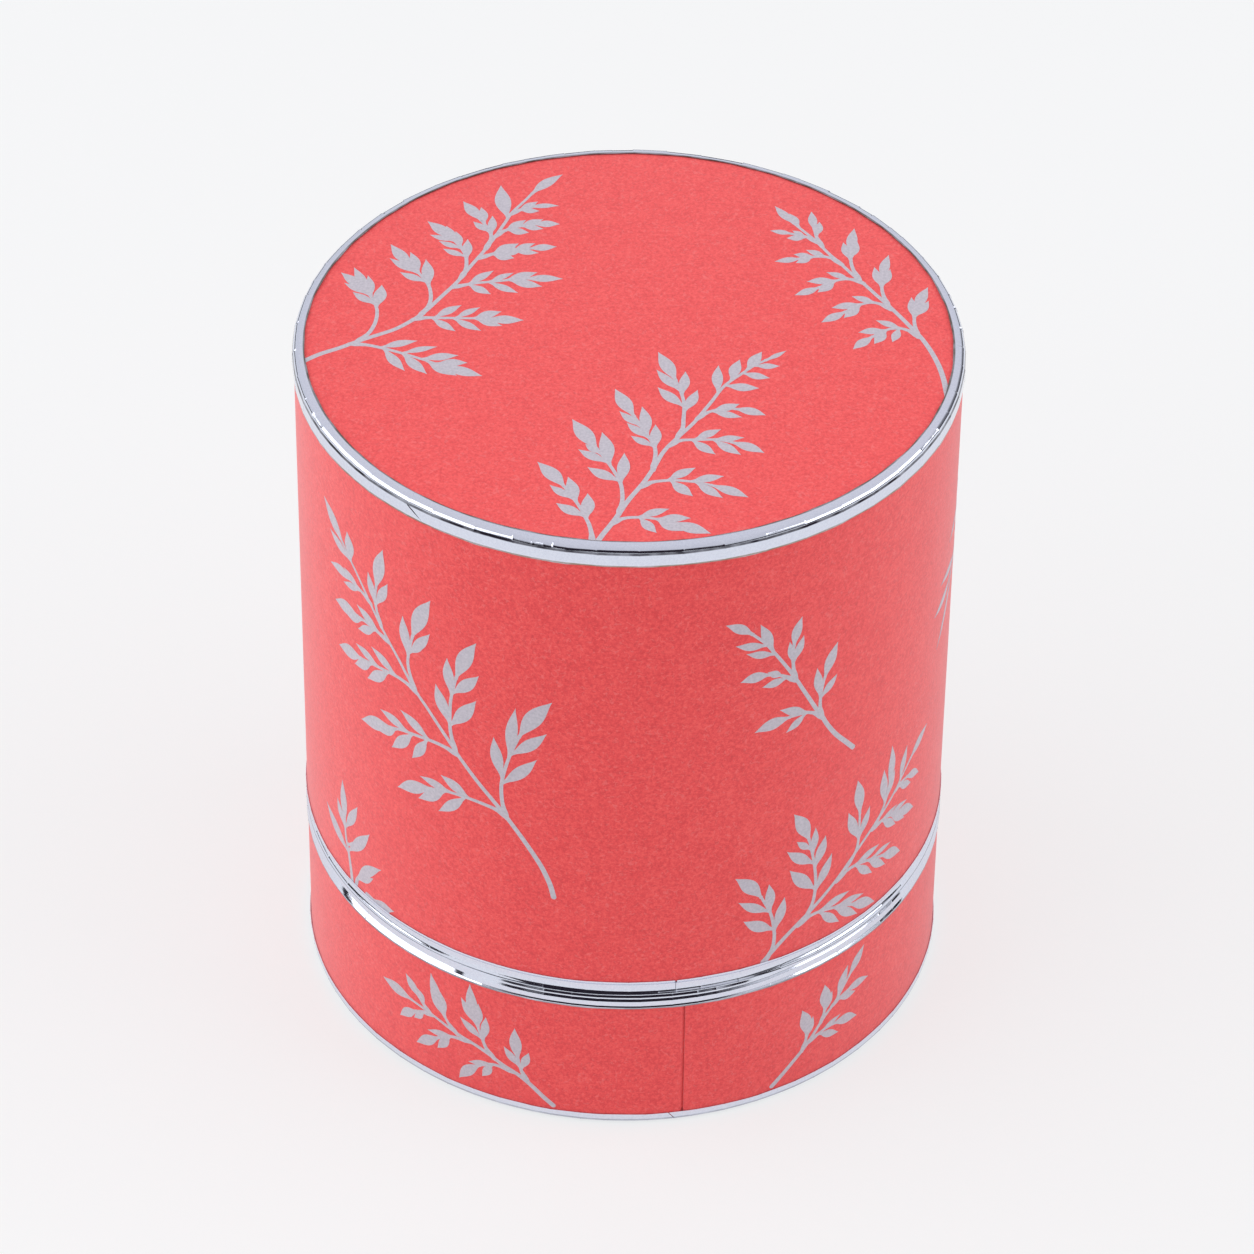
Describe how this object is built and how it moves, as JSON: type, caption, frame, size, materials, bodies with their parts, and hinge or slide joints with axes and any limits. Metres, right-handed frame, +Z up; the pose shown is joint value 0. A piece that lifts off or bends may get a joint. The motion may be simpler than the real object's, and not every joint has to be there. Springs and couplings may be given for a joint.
{
  "type": "round perfume box",
  "caption": "Round rigid paper box with a tall lift-off lid, a low base with a neck, foil edge strips and a foam insert for a bottle.",
  "frame": {"origin": "centre of the underside, on the surface that the box stands on", "axes": "+Z up along the box's axis, -Y towards the front, where the base's wrap has its lap seam, +X to the right"},
  "size_m": [0.1006, 0.1006, 0.1135],
  "materials": {
    "greyboard": "raw wound greyboard",
    "coral_paper": "uncoated coral paper with short pale fibres, printed with silver leafy sprigs",
    "mirror_foil": "mirror foil laminated to thin paper, lightly creased",
    "silver_paper": "satin silver paper",
    "lining_paper": "matt white lining paper",
    "foam": "fine closed-cell foam",
    "white_card": "smooth white card"
  },
  "bodies": {
    "base": {"base_tube": "greyboard", "base_bottom_board": "greyboard", "base_side_wrap": "coral_paper", "base_rim_foil": "mirror_foil", "base_bottom_edge_foil": "mirror_foil", "base_bottom_paper": "coral_paper", "base_floor_lining": "lining_paper", "neck_tube": "greyboard", "neck_foil_wrap": "silver_paper", "neck_lining": "lining_paper"},
    "lid": {"lid_tube": "greyboard", "lid_top_board": "greyboard", "lid_side_wrap": "coral_paper", "lid_top_paper": "coral_paper", "lid_top_edge_foil": "mirror_foil", "lid_rim_foil": "mirror_foil", "lid_lining_wrap": "lining_paper", "lid_lining_disc": "lining_paper"},
    "insert": {"insert_foam_block": "foam", "insert_top_card": "white_card"}
  },
  "joints": [
    {"name": "lid_lift", "type": "slide", "parent": "base", "child": "lid", "axis": [0, 0, 1], "range_m": [0, 0.095]},
    {"name": "insert_lift", "type": "slide", "parent": "base", "child": "insert", "axis": [0, 0, 1], "range_m": [0, 0.045]}
  ]
}
